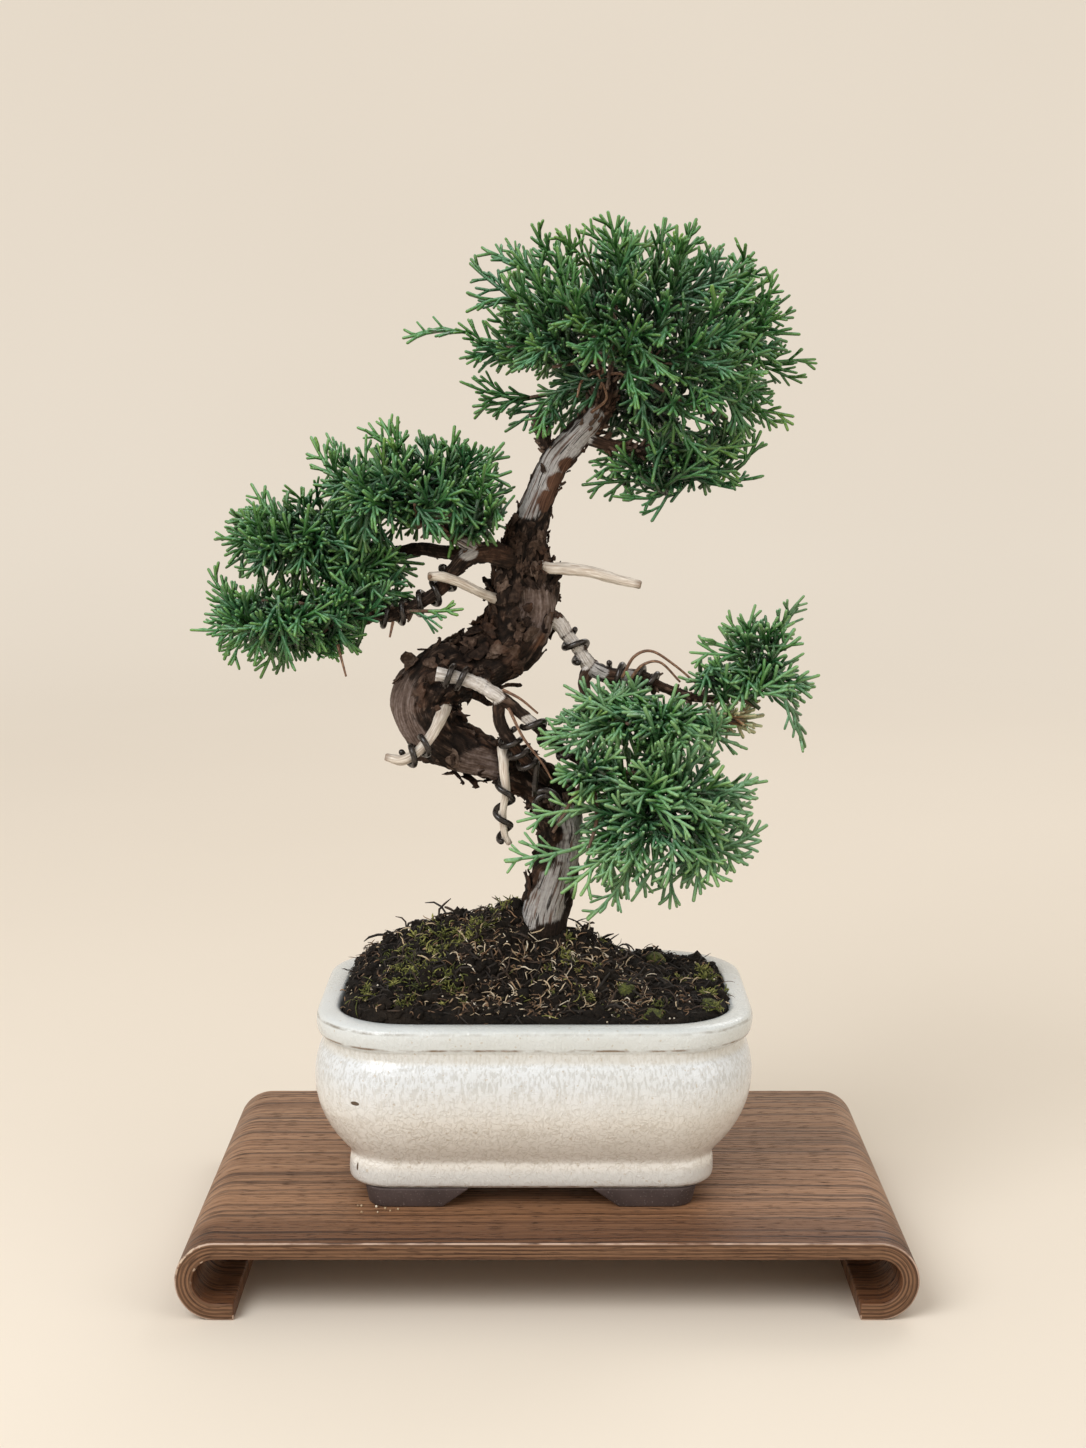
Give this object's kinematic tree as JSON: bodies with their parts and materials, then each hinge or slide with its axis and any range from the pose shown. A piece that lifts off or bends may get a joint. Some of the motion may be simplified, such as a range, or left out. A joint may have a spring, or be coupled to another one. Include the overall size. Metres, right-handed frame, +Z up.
{
  "type": "kishu juniper bonsai",
  "caption": "Small kishu juniper bonsai with a curved trunk, tiered sprays and training wires, in a glazed pot on a bent-wood stand.",
  "frame": {"origin": "middle of the stand's underside, on the surface that the object stands on", "axes": "+Z up along the tree; +X to the right across the stand's length; -Y towards the viewer, the tree's front"},
  "size_m": [0.242, 0.158, 0.359],
  "materials": {
    "stand_walnut": "satin",
    "pot_glaze": "gloss",
    "drain_mesh": "matte",
    "soil": "matte",
    "bark": "matte",
    "wire": "satin",
    "foliage": "satin",
    "dead_foliage": "matte"
  },
  "bodies": {
    "root": {"display_stand": "stand_walnut", "pot": "pot_glaze", "drain_screen_left": "drain_mesh", "drain_screen_right": "drain_mesh", "soil": "soil", "tree_wood": "bark", "wire_front_end": "wire", "wire_front_limb": "wire", "wire_inner_twig": "wire", "wire_loop_stub": "wire", "wire_hanging_stub": "wire", "wire_right_near": "wire", "wire_right_far": "wire", "wire_left_branch": "wire", "foliage_crown": "foliage", "foliage_crown_low": "foliage", "foliage_left_upper": "foliage", "foliage_left_middle": "foliage", "foliage_left_lower": "foliage", "foliage_left_sprig": "foliage", "foliage_right_upper": "foliage", "foliage_right_lower": "foliage", "foliage_far_right": "foliage", "foliage_dead": "dead_foliage"}
  },
  "joints": []
}
